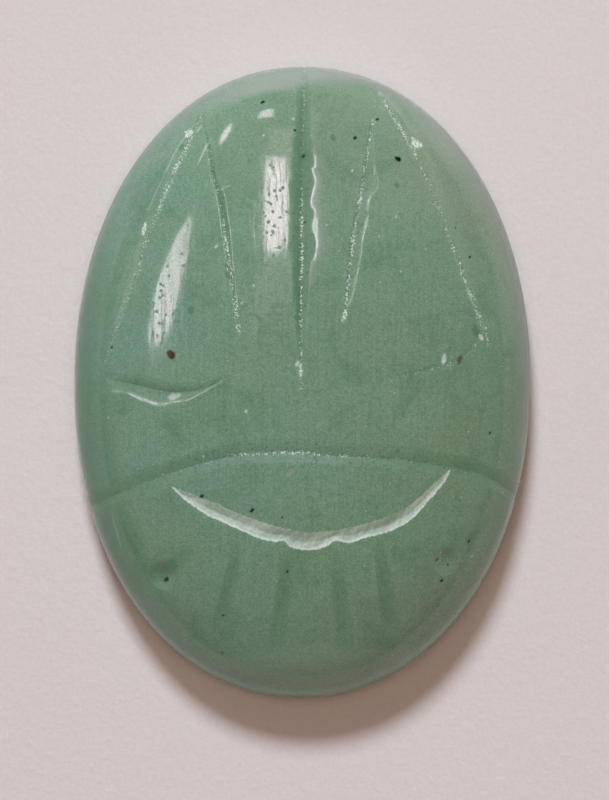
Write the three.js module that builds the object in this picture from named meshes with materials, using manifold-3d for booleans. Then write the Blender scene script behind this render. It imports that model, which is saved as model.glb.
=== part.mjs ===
// Flat-backed oval scarab cabochon, cut and polished from one piece of pale green stone.
// Millimetres. The origin is at the middle of the flat base and +Z is up.
// +Y runs to the tip of the wing cases, -Y to the head.

import * as THREE from "three";
import { mergeVertices } from "three/addons/utils/BufferGeometryUtils.js";
import Module from "manifold-3d";

// Driving sizes of the stone
const LENGTH = 18.0;
const WIDTH = 13.0;
const HEIGHT = 4.5;
const GIRDLE_HEIGHT = 1.0;
const BASE_BEVEL = 0.15;
// Exponent of the outline: 2 is an ellipse, more is fuller between the axes
const OUTLINE_FULLNESS = 2.085;
// Exponent of the dome's profile: 2 is an ellipse, more is a fuller shoulder
const DOME_FULLNESS = 2.2;

// Depths of the marks that the wheel cut, measured square to the dome
const SEAM_DEPTH = 0.3;
const WING_MARK_DEPTH = 0.14;
const SHOULDER_DEPTH = 0.13;
const FAINT_SHOULDER_DEPTH = 0.05;
const NECK_DEPTH = 0.13;
const BROW_DEPTH = 0.17;
const RAY_DEPTH = 0.06;
const EYE_DEPTH = 0.1;
const EYE_RADIUS = 0.5;

// Widths of a mark's walls for each millimetre of its depth
const STEEP_WALL = 0.9;
const SEAM_WALL = 1.2;
const EVEN_WALL = 1.7;
const BROAD_WALL = 2.6;
const RAY_WALL = 4.0;

// Fineness of the facets
const AROUND = 88;
const DOME_RINGS = 20;
const MARK_STEPS = 24;
const EYE_SEGMENTS = 20;
const EYE_RINGS = 5;

// How far a cutter stands out of the stone, and how far its ends lift off the dome
const CLEAR = 0.25;
const LIFT = 0.02;

// The dome turns vertical at its edge, so its slope is worked out with this much rise left
const LEAST_RISE = 0.011;
const WELD = 1e-5;

const STONE_COLOUR = 0x6e8a73;

// Places on the dome are shares [across, along] of the half width and the half length.
// A mark has a wall on the left and on the right of its line. Its opening and closing are
// the shares of its line over which it deepens and runs out.
const marks = [
  // Seam between the wing cases, which starts shallow at the tail
  {
    depth: SEAM_DEPTH, left: SEAM_WALL, right: SEAM_WALL, opening: 0.3, closing: 0.5,
    line: [[0.0, 1.04], [-0.009, 0.7], [-0.008, 0.3], [-0.004, -0.03]],
  },
  // Two marks that meet near the tail on each wing case
  {
    depth: WING_MARK_DEPTH, left: STEEP_WALL, right: BROAD_WALL, opening: 0.2, closing: 0.6,
    line: [[-0.447, 0.838], [-0.597, 0.594], [-0.7, 0.38], [-0.873, 0.0]],
  },
  {
    depth: WING_MARK_DEPTH, left: STEEP_WALL, right: EVEN_WALL, opening: 0.2, closing: 0.6,
    line: [[-0.44, 0.828], [-0.397, 0.66], [-0.33, 0.44], [-0.266, 0.13]],
  },
  {
    depth: WING_MARK_DEPTH, left: BROAD_WALL, right: STEEP_WALL, opening: 0.2, closing: 0.6,
    line: [[0.322, 0.912], [0.464, 0.742], [0.65, 0.42], [0.825, 0.07]],
  },
  {
    depth: WING_MARK_DEPTH, left: EVEN_WALL, right: STEEP_WALL, opening: 0.2, closing: 0.6,
    line: [[0.32, 0.897], [0.271, 0.7], [0.213, 0.45], [0.176, 0.17]],
  },
  // Shoulders: a curved nick on the left and a faint one on the right
  {
    depth: SHOULDER_DEPTH, left: STEEP_WALL, right: BROAD_WALL, opening: 0.4, closing: 0.6,
    line: [[-0.885, 0.035], [-0.744, -0.008], [-0.521, -0.035], [-0.26, 0.032]],
  },
  {
    depth: FAINT_SHOULDER_DEPTH, left: BROAD_WALL, right: EVEN_WALL, opening: 0.5, closing: 0.4,
    line: [[0.39, 0.018], [0.6, 0.054], [0.72, 0.105], [0.8, 0.17]],
  },
  // Neck: a long arc from edge to edge, with its wide wall towards the tail
  {
    depth: NECK_DEPTH, left: BROAD_WALL, right: STEEP_WALL, opening: 0.03, closing: 0.03,
    line: [
      [-1.0, -0.43], [-0.87, -0.376], [-0.593, -0.292], [-0.27, -0.226], [0.04, -0.217],
      [0.4, -0.235], [0.69, -0.265], [0.84, -0.303], [1.0, -0.395],
    ],
  },
  // Brow: the frosted crescent that is the front of the head
  {
    depth: BROW_DEPTH, left: STEEP_WALL, right: EVEN_WALL, opening: 0.4, closing: 0.4,
    line: [[-0.57, -0.321], [-0.3, -0.423], [0.02, -0.487], [0.36, -0.438], [0.65, -0.268]],
  },
];

// Rays of the head plate: [across near the brow, across near the rim, start, end]
const rays = [
  [-0.265, -0.366, -0.49, -0.83],
  [-0.06, -0.109, -0.51, -0.9],
  [0.143, 0.205, -0.505, -0.9],
  [0.33, 0.405, -0.485, -0.82],
];
for (const [near, far, start, end] of rays) {
  marks.push({
    depth: RAY_DEPTH, left: RAY_WALL, right: RAY_WALL, opening: 0.5, closing: 0.6,
    line: [[near, start], [(near + far) / 2, (start + end) / 2], [far, end]],
  });
}

const eyes = [[-0.603, -0.608], [0.633, -0.553]];

const wasm = await Module();
wasm.setup();

// Share of the way from the middle of the stone to its outline
function outlineShare(across, along) {
  const sum = Math.abs(across) ** OUTLINE_FULLNESS + Math.abs(along) ** OUTLINE_FULLNESS;
  return sum ** (1 / OUTLINE_FULLNESS);
}

// Height of the dome above the base
function domeHeight(across, along) {
  const share = Math.min(outlineShare(across, along), 1);
  const rise = HEIGHT - GIRDLE_HEIGHT;
  return GIRDLE_HEIGHT + rise * (1 - share ** DOME_FULLNESS) ** (1 / DOME_FULLNESS);
}

function domePoint(across, along) {
  return new THREE.Vector3(across * WIDTH / 2, along * LENGTH / 2, domeHeight(across, along));
}

// Outward normal of the dome, from its slopes across and along
function domeNormal(across, along) {
  const share = outlineShare(across, along);
  const rise = Math.max(1 - share ** DOME_FULLNESS, LEAST_RISE) ** (1 - 1 / DOME_FULLNESS);
  const fall = (HEIGHT - GIRDLE_HEIGHT) * share ** (DOME_FULLNESS - OUTLINE_FULLNESS) / rise;
  const lean = (place) => Math.sign(place) * Math.abs(place) ** (OUTLINE_FULLNESS - 1);
  const acrossFall = fall * lean(across) / (WIDTH / 2);
  const alongFall = fall * lean(along) / (LENGTH / 2);
  return new THREE.Vector3(acrossFall, alongFall, 1).normalize();
}

// The uncut stone: a lathe profile from the middle of the base to the crown, made oval
function blank() {
  const profile = [
    new THREE.Vector2(0, 0),
    new THREE.Vector2(1 - BASE_BEVEL / (WIDTH / 2), 0),
    new THREE.Vector2(1, BASE_BEVEL),
  ];
  for (let ring = 0; ring <= DOME_RINGS; ring++) {
    const turn = ring / DOME_RINGS * Math.PI / 2;
    const share = ring === DOME_RINGS ? 0 : Math.cos(turn) ** (2 / DOME_FULLNESS);
    profile.push(new THREE.Vector2(share, domeHeight(share, 0)));
  }
  const geometry = new THREE.LatheGeometry(profile, AROUND);
  geometry.rotateX(Math.PI / 2);
  const places = geometry.attributes.position;
  for (let i = 0; i < places.count; i++) {
    const across = places.getX(i);
    const along = places.getY(i);
    const fuller = Math.hypot(across, along) / Math.max(outlineShare(across, along), WELD);
    places.setXY(i, across * fuller, along * fuller);
  }
  geometry.scale(WIDTH / 2, LENGTH / 2, 1);
  return geometry;
}

function toSolid(positions, faces) {
  return new wasm.Manifold(new wasm.Mesh({
    numProp: 3,
    vertProperties: new Float32Array(positions),
    triVerts: new Uint32Array(faces),
  }));
}

function geometryToSolid(geometry) {
  geometry.deleteAttribute("normal");
  geometry.deleteAttribute("uv");
  const merged = mergeVertices(geometry, WELD);
  return toSolid(merged.attributes.position.array, merged.index.array);
}

// Cutter of one wheel mark: a three-sided section that follows a line on the dome
function markCutter({ depth, left, right, opening, closing, line }) {
  const route = new THREE.CatmullRomCurve3(line.map(([u, v]) => new THREE.Vector3(u, v, 0)));
  const positions = [];
  for (let step = 0; step <= MARK_STEPS; step++) {
    const travelled = step / MARK_STEPS;
    const place = route.getPointAt(travelled);
    const tangent = route.getTangentAt(travelled);
    const heading = new THREE.Vector3(tangent.x * WIDTH, tangent.y * LENGTH, 0);
    const up = domeNormal(place.x, place.y);
    const side = new THREE.Vector3().crossVectors(up, heading).normalize();
    const share = Math.min(travelled / opening, (1 - travelled) / closing, 1);
    const cut = (depth + LIFT) * Math.sin(share * Math.PI / 2) - LIFT;
    const middle = domePoint(place.x, place.y);
    const bottom = middle.clone().addScaledVector(up, -cut);
    const top = middle.clone().addScaledVector(up, CLEAR);
    const leftRim = top.clone().addScaledVector(side, (cut + CLEAR) * left);
    const rightRim = top.clone().addScaledVector(side, -(cut + CLEAR) * right);
    positions.push(...bottom, ...leftRim, ...rightRim);
  }
  const faces = [0, 2, 1];
  for (let step = 0; step < MARK_STEPS; step++) {
    for (let corner = 0; corner < 3; corner++) {
      const here = step * 3 + corner;
      const beside = step * 3 + (corner + 1) % 3;
      faces.push(here, beside, beside + 3, here, beside + 3, here + 3);
    }
  }
  const last = MARK_STEPS * 3;
  faces.push(last, last + 1, last + 2);
  return toSolid(positions, faces);
}

// Cutter of one eye: the cap of a ball, standing on the dome's normal
function eyeCutter([across, along]) {
  const radius = (EYE_RADIUS ** 2 + EYE_DEPTH ** 2) / (2 * EYE_DEPTH);
  const widest = Math.acos(1 - (EYE_DEPTH + CLEAR) / radius);
  const profile = [];
  for (let ring = 0; ring <= EYE_RINGS; ring++) {
    const turn = ring / EYE_RINGS * widest;
    profile.push(new THREE.Vector2(radius * Math.sin(turn), -radius * Math.cos(turn)));
  }
  profile.push(new THREE.Vector2(0, -radius * Math.cos(widest)));
  const up = domeNormal(across, along);
  const centre = domePoint(across, along).addScaledVector(up, radius - EYE_DEPTH);
  const geometry = new THREE.LatheGeometry(profile, EYE_SEGMENTS);
  const lean = new THREE.Quaternion().setFromUnitVectors(new THREE.Vector3(0, 1, 0), up);
  geometry.applyQuaternion(lean);
  geometry.translate(centre.x, centre.y, centre.z);
  return geometryToSolid(geometry);
}

function carvedStone() {
  let stone = geometryToSolid(blank());
  for (const mark of marks) {
    stone = stone.subtract(markCutter(mark));
  }
  for (const eye of eyes) {
    stone = stone.subtract(eyeCutter(eye));
  }
  const { vertProperties, triVerts } = stone.getMesh();
  const geometry = new THREE.BufferGeometry();
  geometry.setAttribute("position", new THREE.BufferAttribute(vertProperties, 3));
  geometry.setIndex(new THREE.BufferAttribute(triVerts, 1));
  geometry.computeVertexNormals();
  return geometry;
}

const stoneMaterial = new THREE.MeshStandardMaterial({
  color: STONE_COLOUR,
  roughness: 0.25,
  metalness: 0,
});

const scarab = new THREE.Mesh(carvedStone(), stoneMaterial);
scarab.name = "scarab";

const part = new THREE.Group();
part.add(scarab);

export default part;
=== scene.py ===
import math
from dataclasses import dataclass

import bpy
import numpy as np
from bpy.props import FloatProperty, FloatVectorProperty, PointerProperty
from bpy.types import Operator, Panel, PropertyGroup
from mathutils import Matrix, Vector
from mathutils.geometry import delaunay_2d_cdt


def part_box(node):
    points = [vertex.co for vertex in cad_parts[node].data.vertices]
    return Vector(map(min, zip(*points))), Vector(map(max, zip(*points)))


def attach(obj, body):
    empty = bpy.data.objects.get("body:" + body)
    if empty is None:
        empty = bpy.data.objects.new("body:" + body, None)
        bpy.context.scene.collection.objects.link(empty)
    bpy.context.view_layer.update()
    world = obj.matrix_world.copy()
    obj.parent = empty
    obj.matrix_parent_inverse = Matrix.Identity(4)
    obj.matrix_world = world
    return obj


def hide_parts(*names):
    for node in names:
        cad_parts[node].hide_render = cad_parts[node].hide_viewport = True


bl_info = {
    "name": "Scarab Cabochon",
    "version": (1, 0, 0),
    "blender": (4, 5, 0),
    "location": "3D View > Sidebar > Scarab",
    "description": "Makes a carved green scarab stone and the table that it lies on",
    "category": "Add Mesh",
}

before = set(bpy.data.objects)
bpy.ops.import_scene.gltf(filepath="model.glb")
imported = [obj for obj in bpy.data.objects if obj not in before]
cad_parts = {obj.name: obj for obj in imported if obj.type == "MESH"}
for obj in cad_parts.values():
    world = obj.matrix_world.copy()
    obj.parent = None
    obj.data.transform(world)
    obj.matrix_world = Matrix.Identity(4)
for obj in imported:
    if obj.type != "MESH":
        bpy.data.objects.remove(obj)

MM = 0.001
STONE_LOW, STONE_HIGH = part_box("scarab")
HALF_WIDTH = (STONE_HIGH.x - STONE_LOW.x) / 2 / MM
HALF_LENGTH = (STONE_HIGH.y - STONE_LOW.y) / 2 / MM
HEIGHT = (STONE_HIGH.z - STONE_LOW.z) / MM
SEED = 41

# A distance in millimetres that is farther than anything on the stone
FAR = 99.0


def length(name, description, millimetres):
    """A length, given in millimetres and kept in metres."""
    return FloatProperty(
        name=name, description=description, default=millimetres * MM, unit="LENGTH",
        precision=5)


def colour(name, description, *default):
    return FloatVectorProperty(
        name=name, description=description, default=default, subtype="COLOR")


def number(name, description, default, low=0.0, high=100.0):
    return FloatProperty(
        name=name, description=description, default=default, min=low, max=high)


class ScarabSizes(PropertyGroup):
    """Sizes of the stone that its box doesn't give"""

    girdle: length("Girdle height", "Height of the upright edge below the dome", 1.0)
    bevel: length("Base bevel", "Small bevel between the girdle and the flat base", 0.15)
    outline: number(
        "Outline fullness", "Exponent of the outline, 2 being an ellipse", 2.085, 1.6, 4.0)
    fullness: number(
        "Dome fullness", "Exponent of the dome's profile, 2 being an ellipse", 2.2, 1.6, 4.0)
    seam_depth: length("Seam depth", "Depth of the cut between the wing cases", 0.11)
    wing_depth: length("Wing mark depth", "Depth of the slanting cuts on the wing cases", 0.07)
    shoulder_depth: length(
        "Shoulder depth", "Depth of the curved nick below the left wing case", 0.07)
    neck_depth: length("Neck depth", "Depth of the long arc in front of the shoulders", 0.06)
    brow_depth: length("Brow depth", "Depth of the frosted crescent", 0.09)
    ray_depth: length("Ray depth", "Depth of the soft rays of the head plate", 0.045)
    eye_depth: length("Eye depth", "Depth of the round eyes", 0.12)
    eye_radius: length("Eye radius", "Radius of the round eyes", 0.5)
    fine_cell: length("Fine cell", "Distance between mesh points on the carving", 0.034)
    plain_cell: length("Plain cell", "Distance between mesh points on the plain dome", 0.12)


class ScarabLooks(PropertyGroup):
    """Colours and finish of the stone"""

    body: colour("Body colour", "Main green of the stone", 0.270, 0.428, 0.305)
    cool: colour(
        "Cool colour", "Bluer green of the left side and of the clouds", 0.255, 0.435, 0.335)
    warm: colour("Warm colour", "Yellower green of the right side", 0.270, 0.395, 0.270)
    # Also the painted shade of the cut walls, of the edge and of the polish pits
    deep: colour(
        "Deep colour", "Dark green of the veils and of the polished cuts", 0.085, 0.25, 0.135)
    # Frosted stone in the cuts and chips; the same colour also paints glints along edges and grains,
    # and painted light on the head end
    frost_and_painted_light: colour(
        "Frost colour", "Bruised, unpolished stone in the cuts and chips", 0.76, 0.87, 0.79)
    # Painted sheen: a pale colour for the room's reflection round the tail end and beside some cuts, on
    # rougher, half polished stone
    sheen_and_haze: colour(
        "Haze colour", "Pale, half polished stone round the tail end", 0.47, 0.51, 0.46)
    speck: colour("Speck colour", "Dark mineral specks", 0.012, 0.020, 0.012)
    rust: colour("Rust colour", "Brown mineral specks", 0.11, 0.055, 0.025)
    polish: number("Polish roughness", "Roughness of the polished dome", 0.07, high=1.0)
    haze_rough: number(
        "Haze roughness", "Roughness of the half polished stone", 0.32, high=1.0)
    frost_rough: number("Frost roughness", "Roughness of the bruised stone", 0.6, high=1.0)
    glow_depth: length("Light depth", "How far light runs inside the stone", 0.8)


class ScarabStage(PropertyGroup):
    """The table, the lamps and the camera"""

    paper: colour("Table colour", "Colour of the pale table", 0.80, 0.765, 0.76)
    key_colour: colour(
        "Key colour", "Colour of the light that casts the shadow", 0.85, 0.92, 1.0)
    key_light: number("Key light", "Light that the key lamp gives a level table", 0.575)
    bounce_colour: colour(
        "Bounce colour", "Warm light that comes back from the ceiling", 1.0, 0.68, 0.53)
    bounce_light: number("Bounce light", "Light that the ceiling gives a level table", 0.21)
    room_colour: colour("Room colour", "Colour of the room around the table", 1.0, 0.74, 0.66)
    room_glow: number("Room glow", "Radiance of the room around the table", 0.12)
    lamp_colour: colour(
        "Lamp colour", "Colour of the lamps that the polish mirrors", 1.0, 0.79, 0.88)
    lamp_glow: number("Lamp glow", "Radiance of the lamps that the polish mirrors", 15.2)
    ceiling: length("Ceiling height", "Height of the lamps over the table", 500.0)
    camera_height: length("Camera height", "Height of the camera over the table", 150.0)


# The stone's skin, unrolled from the crown


class Skin:
    """The stone's surface as a flat map, in millimetres, with the crown in the middle.

    A place is a pair of shares of the half width and half length. The map keeps distances
    along the surface, from the crown over the dome, down the girdle and round the bevel.
    """

    SAMPLES = 1500

    def __init__(self, sizes):
        girdle = sizes.girdle / MM
        bevel = sizes.bevel / MM
        self.outline = sizes.outline
        power = 2 / sizes.fullness
        turn = np.linspace(0, math.pi / 2, self.SAMPLES)
        share = np.sin(turn) ** power
        height = girdle + (HEIGHT - girdle) * np.abs(np.cos(turn)) ** power
        height[-1] = girdle
        mean_half = (HALF_WIDTH + HALF_LENGTH) / 2
        wall = np.linspace(girdle, bevel, 60)[1:]
        round_off = np.linspace(0, math.pi / 2, 14)[1:]
        bevel_share = 1 - bevel / mean_half * (1 - np.cos(round_off))
        bevel_height = bevel * (1 - np.sin(round_off))
        self.share = np.concatenate([share, np.ones(len(wall)), bevel_share])
        self.height = np.concatenate([height, wall, bevel_height])
        self.arc = self._length(mean_half)
        self.edge = float(self.arc[self.SAMPLES - 1])
        self.end = float(self.arc[-1])
        dome = slice(0, self.SAMPLES)
        self.wide = self._length(HALF_WIDTH)[dome][-1] / self.edge
        self.long = self._length(HALF_LENGTH)[dome][-1] / self.edge

    def _length(self, half):
        steps = np.hypot(np.diff(self.share) * half, np.diff(self.height))
        return np.concatenate([[0.0], np.cumsum(steps)])

    def outline_share(self, places):
        """Share of the way from the middle to the outline."""
        return (np.abs(places) ** self.outline).sum(1) ** (1 / self.outline)

    def spot(self, places):
        """Map points of places given as shares. Places past the edge run down the girdle."""
        places = np.asarray(places, float)
        share = self.outline_share(places)
        dome = slice(0, self.SAMPLES)
        arc = np.interp(share, self.share[dome], self.arc[dome])
        past = np.maximum(share - 1, 0) * (HALF_WIDTH + HALF_LENGTH) / 2
        scale = (arc + past) / np.maximum(np.hypot(places[:, 0], places[:, 1]), 1e-9)
        return places * scale[:, None] * (self.wide, self.long)

    def _polar(self, spots):
        flat = np.asarray(spots, float) / (self.wide, self.long)
        arc = np.hypot(flat[:, 0], flat[:, 1])
        return flat / np.maximum(arc, 1e-9)[:, None], arc

    def turn_and_share(self, spots):
        """Degrees clockwise from the tail, and the share of the way to the edge."""
        way, arc = self._polar(spots)
        return np.degrees(np.arctan2(way[:, 0], way[:, 1])), np.interp(arc, self.arc, self.share)

    def surface(self, spots):
        """Points and outward normals of the uncut stone, in millimetres."""
        way, arc = self._polar(spots)
        share = np.interp(arc, self.arc, self.share)
        height = np.interp(arc, self.arc, self.height)
        share_slope = np.interp(arc, self.arc, np.gradient(self.share, self.arc))
        height_slope = np.interp(arc, self.arc, np.gradient(self.height, self.arc))
        full = np.maximum(self.outline_share(way), 1e-9)
        x = way[:, 0] * HALF_WIDTH / full
        y = way[:, 1] * HALF_LENGTH / full
        points = np.stack([x * share, y * share, height], 1)
        outward = np.stack([x * share_slope, y * share_slope, height_slope], 1)
        lean = np.sign(way) * np.abs(way) ** (self.outline - 1)
        around = np.stack([-lean[:, 1] * HALF_WIDTH, lean[:, 0] * HALF_LENGTH, 0 * x], 1)
        normals = np.cross(outward, around)
        normals /= np.maximum(np.linalg.norm(normals, axis=1), 1e-12)[:, None]
        normals[arc < 1e-6] = (0, 0, 1)
        return points, normals

    def edge_distance(self, spots):
        """How far inside the base's edge each map point is."""
        return self.end - self._polar(spots)[1]

    def rim(self, count, arc):
        turn = np.linspace(0, 2 * math.pi, count, endpoint=False)
        return np.stack([np.cos(turn) * arc * self.wide, np.sin(turn) * arc * self.long], 1)


def wander(along, step, seed):
    """Smooth random waves between -1 and 1 along a line, with a given spacing."""
    knots = np.random.default_rng(seed).uniform(-1, 1, 4096)
    where = np.asarray(along, float) / step + 7
    low = np.floor(where).astype(int) % 4095
    blend = where - np.floor(where)
    blend = blend * blend * (3 - 2 * blend)
    return knots[low] * (1 - blend) + knots[low + 1] * blend


class Line:
    """A smooth line on the map through a few places given as shares."""

    STEPS = 24
    CHUNK = 4000

    def __init__(self, skin, places):
        points = skin.spot(places)
        ends = [2 * points[0] - points[1], *points, 2 * points[-1] - points[-2]]
        t = np.linspace(0, 1, self.STEPS, endpoint=False)[:, None]
        spans = []
        for a, b, c, d in zip(ends, ends[1:], ends[2:], ends[3:]):
            bend = 2 * a - 5 * b + 4 * c - d
            twist = 3 * b - a - 3 * c + d
            spans.append(0.5 * (2 * b + (c - a) * t + bend * t ** 2 + twist * t ** 3))
        self.route = np.concatenate([*spans, points[-1:]])
        steps = np.linalg.norm(np.diff(self.route, axis=0), axis=1)
        self.along = np.concatenate([[0.0], np.cumsum(steps)])
        self.length = self.along[-1]
        self.knots = self.along[::self.STEPS]

    def nearest(self, spots):
        """Distance along the line and signed distance from it, left being positive."""
        start = self.route[:-1]
        step = np.diff(self.route, axis=0)
        square = (step ** 2).sum(1)
        along = np.zeros(len(spots))
        aside = np.full(len(spots), FAR)
        for first in range(0, len(spots), self.CHUNK):
            part = slice(first, first + self.CHUNK)
            away = spots[part, None, :] - start[None]
            share = np.clip((away * step).sum(2) / square, 0, 1)
            gap = away - share[..., None] * step
            distance = np.hypot(gap[..., 0], gap[..., 1])
            best = distance.argmin(1)
            row = np.arange(len(best))
            turn = step[best, 0] * away[row, best, 1] - step[best, 1] * away[row, best, 0]
            aside[part] = np.copysign(distance[row, best], turn)
            along[part] = self.along[best] + share[row, best] * np.sqrt(square[best])
        return along, aside

    def crease(self, pitch=0.04):
        """Evenly spaced points of the line, for the mesh to follow."""
        along = np.linspace(0, self.length, max(int(self.length / pitch), 4))
        return np.stack([np.interp(along, self.along, self.route[:, i]) for i in (0, 1)], 1)


# What the wheel and time left on the stone, with painted shade, sheen and glints among the details.
# Each detail has a gap(spots), which is its distance from map points, and a touch(spots),
# which is what it does to the stone there.

SHARP = (1.0, 1.0)
SOFT = (1.0, 1.6)
BOWL = (2.0, 2.0)


@dataclass
class Mark:
    """One cut of the wheel, given by places on its line and values at those places.

    The depths and the widths of the walls left and right of the line are in millimetres. The
    bright values say how bruised the bottom is, its sparkle being painted glints. An edge is
    (side, places, glow): it says where the wall on that side ends, and how bright that edge is,
    the brightness being a painted glint along it. A halo is (side, reach, values): painted sheen,
    pale like haze, beyond the wall. The shade is painted shade on the walls. A side is 1 for the
    left of the line and -1 for its right, as seen by a cutter who goes along it.
    """

    places: list
    depths: list
    left: list
    right: list
    bright: list
    forms: tuple = (SHARP, SHARP)
    shade: float = 0.3
    dull: float = 0.4
    grain: float = 0.1
    edges: tuple = ()
    sheen_halo: tuple = ()

    # How far a wall takes to run up to its edge, and how wide the painted glint along an edge is
    BLEND = 0.2
    EDGE_LINE = 0.032
    EDGE_END = 0.15

    def lay(self, skin):
        across, up = self.places[0]
        self.seed = SEED + int(1000 * (across + 2 * up) % 997)
        self.line = Line(skin, self.places)
        self.walls = []
        for side, places, glow in self.edges:
            edge = Line(skin, places)
            along, aside = self.line.nearest(edge.route)
            order = np.argsort(along)
            self.walls.append((side, along[order], np.abs(aside[order]), glow, edge))

    def creases(self):
        found = [] if BOWL in self.forms else [self.line.crease()]
        return found + [edge.crease() for *_, edge in self.walls]

    def at(self, values, along):
        return np.interp(along, self.line.knots, values)

    def beside(self, side, edge_along, along, aside, fade):
        """1 on the side of an edge and 0 on the other, fading out at the edge's ends."""
        ends = np.minimum(along - edge_along[0], edge_along[-1] - along)
        return np.clip(ends / fade, 0, 1) * (aside * side > 0)

    def width(self, along, aside):
        """Width of the wall that each point is on, with the waviness of a hand-held cut."""
        wave = 1 + 0.10 * wander(along, 0.35, self.seed) + 0.06 * wander(along, 0.09, self.seed + 1)
        width = np.where(aside > 0, self.at(self.left, along), self.at(self.right, along)) * wave
        for side, edge_along, edge_aside, *_ in self.walls:
            crisp = self.beside(side, edge_along, along, aside, self.BLEND)
            width = width + (np.interp(along, edge_along, edge_aside) - width) * crisp
        return np.maximum(width, 1e-4)

    def gap(self, spots):
        along, aside = self.line.nearest(spots)
        return np.abs(aside) - self.width(along, aside)

    def touch(self, spots):
        along, aside = self.line.nearest(spots)
        far = np.abs(aside)
        width = self.width(along, aside)
        share = np.clip(far / width, 0, 1)
        (left_inner, left_outer), (right_inner, right_outer) = self.forms
        inner = np.where(aside > 0, left_inner, right_inner)
        outer = np.where(aside > 0, left_outer, right_outer)
        for side, edge_along, *_ in self.walls:
            outer = outer + (1 - outer) * self.beside(side, edge_along, along, aside, self.BLEND)
        cut = self.at(self.depths, along)
        depth = cut * (1 - share ** inner) ** outer
        pebbles = 0.75 + 0.25 * wander(along, 0.25, self.seed + 3)
        spark = self.at(self.bright, along) * np.clip(1.15 - far / self.grain, 0, 1) * pebbles
        inside = np.clip((1 - share) * 3, 0, 1) * np.clip(cut / 0.05, 0, 1)
        shade = self.at(np.broadcast_to(self.shade, self.line.knots.shape), along) * inside
        dull = self.dull * inside
        frost_and_painted_light = np.zeros(len(spots))
        # Painted glint along each wall's edge, on partly chipped, frosted stone, put into the frost
        # look
        for side, edge_along, edge_aside, glow, _ in self.walls:
            off = np.abs(far - np.interp(along, edge_along, edge_aside))
            line = np.clip(1.3 - off / self.EDGE_LINE, 0, 1)
            line = line * self.beside(side, edge_along, along, aside, self.EDGE_END)
            waver = np.maximum(0.8 + 0.5 * wander(along, 0.17, self.seed + 5), 0)
            frost_and_painted_light = np.maximum(frost_and_painted_light, glow * line * waver)
        # Painted sheen: pale colour beyond the wall, fading out over its reach
        sheen_and_haze = np.zeros(len(spots))
        if self.sheen_halo:
            side, reach, values = self.sheen_halo
            fade = np.clip(1 - (far - width) / reach, 0, 1) ** 2
            sheen_and_haze = self.at(values, along) * fade * (aside * side > 0) * (far >= width * 0.9)
        return {"depth": depth, "spark": spark, "shade": shade, "dull": dull,
                "frost_and_painted_light": frost_and_painted_light, "sheen_and_haze": sheen_and_haze}


@dataclass
class Crescent:
    """The frosted chip across the brow, deepest at a share of the way down from its top."""

    upper_places: list
    lower_places: list
    depth: float
    widest: float

    DEEPEST = 0.55
    LIP = 0.08

    def lay(self, skin):
        self.upper = Line(skin, self.upper_places)
        self.lower = Line(skin, self.lower_places)

    def creases(self):
        return [self.upper.crease(), self.lower.crease()]

    def gap(self, spots):
        return np.maximum(self.upper.nearest(spots)[1], -self.lower.nearest(spots)[1])

    def touch(self, spots):
        along, above = self.upper.nearest(spots)
        below = self.lower.nearest(spots)[1]
        inside = (above < 0) & (below > 0)
        width = np.where(inside, below - above, 1)
        share = np.where(inside, -above / width, 0)
        section = np.minimum(share / self.DEEPEST, (1 - share) / (1 - self.DEEPEST))
        depth = self.depth * np.clip(width / self.widest, 0, 1) * section * inside
        flakes = wander(along + 1.2 * share, 0.45, SEED + 8)
        streaks = wander(along + 0.3 * share, 0.08, SEED + 10)
        frost_and_painted_light = inside * np.clip(0.63 + 0.11 * share + 0.20 * flakes + 0.16 * streaks, 0, 1)
        lip = np.clip(1.5 - np.abs(below) / self.LIP, 0, 1) * inside
        frost_and_painted_light = np.maximum(frost_and_painted_light, lip * (1.1 + 0.2 * wander(along, 0.22, SEED + 9)))
        return {"depth": depth, "frost_and_painted_light": frost_and_painted_light}


class Patch:
    """A small oval spot: a chip, a speck, a bright fleck, an eye, or a patch of painted shade, sheen,
    highlight or light.

    It is given by its place, its half length and half width in millimetres, its turn in
    degrees clockwise from the tail, and how much of which look it has.
    """

    RAGGED_BELOW = 0.4
    BROAD_ABOVE = 1.0

    def __init__(self, place, half_length, half_width, turn, depth=0.0, form=BOWL, **looks):
        self.place = place
        self.half = np.array([half_width, half_length])
        self.turn = math.radians(turn)
        self.depth = depth
        self.form = form
        self.looks = looks
        self.rough = half_length < self.RAGGED_BELOW
        self.broad = half_length > self.BROAD_ABOVE
        self.seed = SEED + int(1000 * abs(place[0] + 2 * place[1]))

    def lay(self, skin):
        self.centre = skin.spot([self.place])[0]

    def creases(self):
        return []

    def _share(self, spots):
        away = spots - self.centre
        across = away[:, 0] * math.cos(self.turn) - away[:, 1] * math.sin(self.turn)
        along = away[:, 0] * math.sin(self.turn) + away[:, 1] * math.cos(self.turn)
        ragged = 1 + 0.25 * wander(np.arctan2(along, across), 0.8, self.seed) * self.rough
        return np.hypot(across / self.half[0], along / self.half[1]) * ragged

    def gap(self, spots):
        """Distance from the patch. A broad one is only a faint tint and needs no fine mesh."""
        if self.broad:
            return np.full(len(spots), FAR)
        return (self._share(spots) - 1) * self.half.min()

    def touch(self, spots):
        share = self._share(spots)
        inner, outer = self.form
        found = {"depth": self.depth * (1 - np.clip(share, 0, 1) ** inner) ** outer}
        cover = np.clip((1.2 - share) / 0.45, 0, 1)
        found.update({look: value * cover for look, value in self.looks.items()})
        return found


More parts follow.
